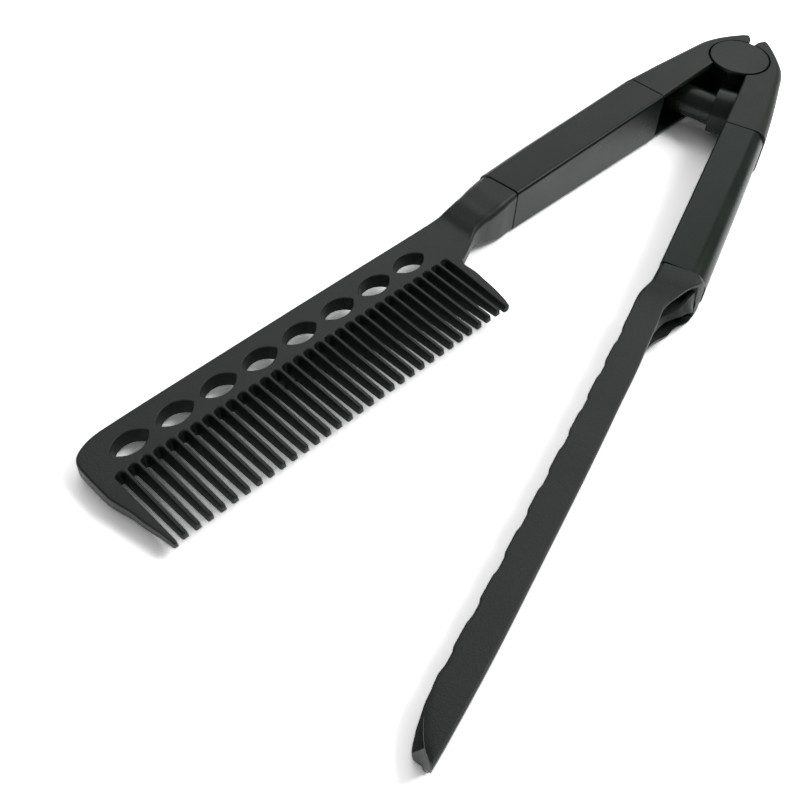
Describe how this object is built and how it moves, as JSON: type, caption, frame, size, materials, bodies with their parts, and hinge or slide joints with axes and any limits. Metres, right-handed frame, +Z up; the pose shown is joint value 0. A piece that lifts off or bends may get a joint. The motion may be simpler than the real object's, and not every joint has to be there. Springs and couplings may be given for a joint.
{
  "type": "hair straightening comb",
  "caption": "V-shaped straightening comb: a toothed comb arm and a slotted clip arm with nubs, hinged at the grip end and pushed apart by a guided spring.",
  "frame": {"origin": "on the hinge axis, at the bottom face of the lower hinge cap", "axes": "+Z up along the hinge axis, away from the face it rests on. The arms open evenly about -Y, the comb arm towards -X and the clip arm towards +X."},
  "size_m": [0.0986, 0.2421, 0.0175],
  "materials": {
    "blade_plastic": "black heat-resistant plastic with a fine satin texture",
    "grip_plastic": "black plastic, satin top and smoother sides",
    "head_plastic": "black satin plastic",
    "cap_plastic": "black satin plastic",
    "guide_plastic": "black smooth plastic",
    "pin_steel": "plain ground steel",
    "spring_steel": "plain spring wire",
    "screw_steel": "blackened steel"
  },
  "bodies": {
    "comb_arm": {"comb": "blade_plastic", "comb_sleeve": "grip_plastic", "comb_head": "head_plastic", "comb_arm_screws": "screw_steel", "spring_plunger": "guide_plastic", "pivot_cap_top": "cap_plastic", "pivot_cap_bottom": "cap_plastic", "pivot_pin": "pin_steel"},
    "clip_arm": {"clip": "blade_plastic", "clip_sleeve": "grip_plastic", "clip_head": "head_plastic", "clip_arm_screws": "screw_steel", "spring_cup": "guide_plastic", "opening_spring": "spring_steel"}
  },
  "joints": [
    {"name": "clip_hinge", "type": "hinge", "parent": "comb_arm", "child": "clip_arm", "pos_m": [0, 0, 0.00875], "axis": [0, 0, -1], "range_deg": [-6, 20.5], "stiffness_Nm_per_rad": 1.5, "deforming": ["opening_spring"]}
  ]
}
